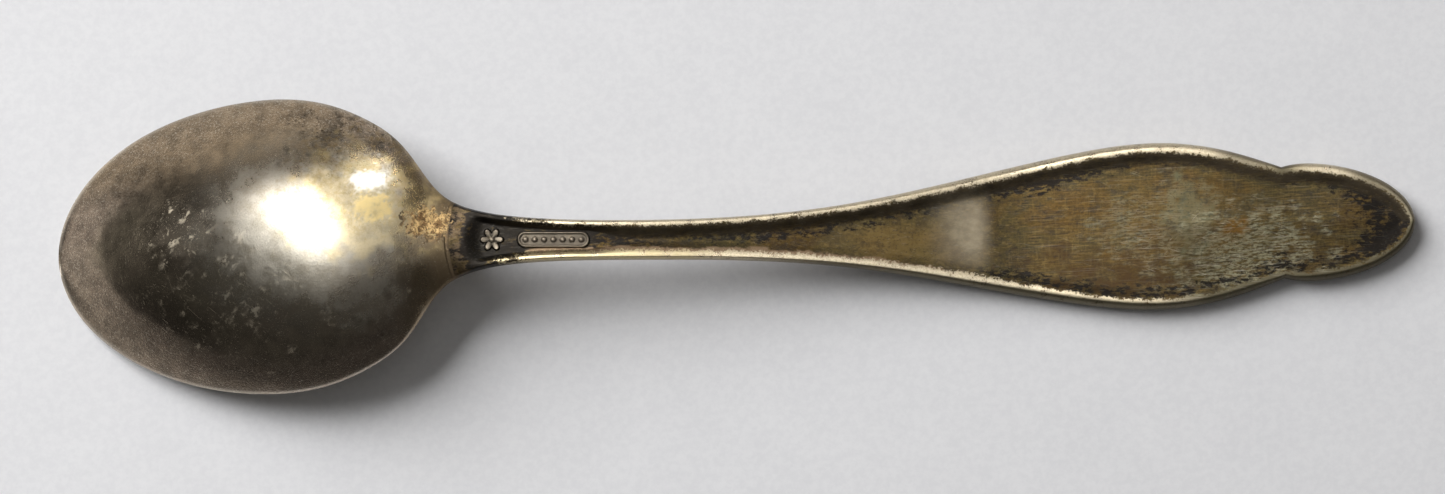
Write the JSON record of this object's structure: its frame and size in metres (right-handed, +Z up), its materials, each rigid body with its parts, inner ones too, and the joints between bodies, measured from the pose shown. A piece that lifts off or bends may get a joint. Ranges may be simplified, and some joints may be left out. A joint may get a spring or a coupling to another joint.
{
  "type": "souvenir spoon",
  "caption": "Struck sterling silver souvenir teaspoon with an oval bowl, a slim stem with a recessed back and a broad leaf-tipped handle.",
  "frame": {"origin": "middle of the spoon's length and width, on the surface that it lies on, face down", "axes": "+X along the spoon from the tip of the bowl to the tip of the handle, +Z up out of the spoon's back, +Y to the left of +X"},
  "size_m": [0.146, 0.0316, 0.0125],
  "materials": {
    "bowl_silver": "tarnished sterling silver, polished once, now brown-grey with worn bright spots",
    "solder": "coppery silver solder, matt and rough",
    "handle_silver": "tarnished sterling silver, olive-brown patina in the recess, bright worn rims"
  },
  "bodies": {
    "root": {"bowl": "bowl_silver", "neck_solder": "solder", "handle": "handle_silver"}
  },
  "joints": []
}
